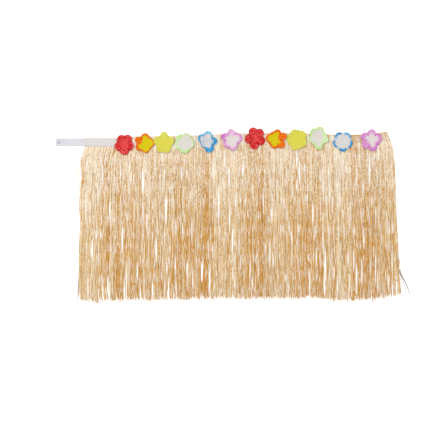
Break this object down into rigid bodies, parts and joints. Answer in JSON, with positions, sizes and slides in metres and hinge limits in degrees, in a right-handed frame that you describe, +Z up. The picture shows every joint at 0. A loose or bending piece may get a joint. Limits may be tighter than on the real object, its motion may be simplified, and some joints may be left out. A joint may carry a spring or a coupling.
{
  "type": "grass skirt",
  "caption": "Raffia fringe skirt laid out flat: strands hang from a stitched waistband with a row of cloth flowers and a white closure tape with a press stud.",
  "frame": {"origin": "middle of the footprint, on the surface that the skirt lies on", "axes": "+X along the waist away from the free end of the closure tape, +Y from the hem to the waist, +Z up out of the face that carries the flowers"},
  "size_m": [1.0758, 0.5318, 0.0132],
  "materials": {
    "raffia": "crinkled raffia ribbon with a soft sheen, cream to straw gold",
    "heading": "flattened raffia folded over a tape and stitched",
    "tape": "white woven webbing",
    "stud": "plain nickel-plated steel",
    "red_petals": "stiffened cloth, dyed red",
    "orange_petals": "stiffened cloth, yellow in the middle and dyed orange at the rim",
    "yellow_petals": "stiffened cloth, dyed lemon yellow",
    "green_petals": "stiffened cloth, white in the middle and dyed light green at the rim",
    "blue_petals": "stiffened cloth, white in the middle and dyed blue at the rim",
    "purple_petals": "stiffened cloth, white in the middle and dyed purple at the rim"
  },
  "bodies": {
    "root": {"waistband": "heading", "closure_tape": "tape", "press_stud_ball": "stud", "press_stud_socket_98cm": "stud", "press_stud_socket_86cm": "stud", "fringe_01": "raffia", "fringe_02": "raffia", "fringe_03": "raffia", "fringe_04": "raffia", "fringe_05": "raffia", "fringe_06": "raffia", "fringe_07": "raffia", "fringe_08": "raffia", "fringe_09": "raffia", "fringe_10": "raffia", "fringe_11": "raffia", "fringe_12": "raffia", "fringe_13": "raffia", "fringe_14": "raffia", "flower_01_red": "red_petals", "flower_02_orange": "orange_petals", "flower_03_yellow": "yellow_petals", "flower_04_green": "green_petals", "flower_05_blue": "blue_petals", "flower_06_purple": "purple_petals", "flower_07_red": "red_petals", "flower_08_orange": "orange_petals", "flower_09_yellow": "yellow_petals", "flower_10_green": "green_petals", "flower_11_blue": "blue_petals", "flower_12_purple": "purple_petals"}
  },
  "joints": []
}
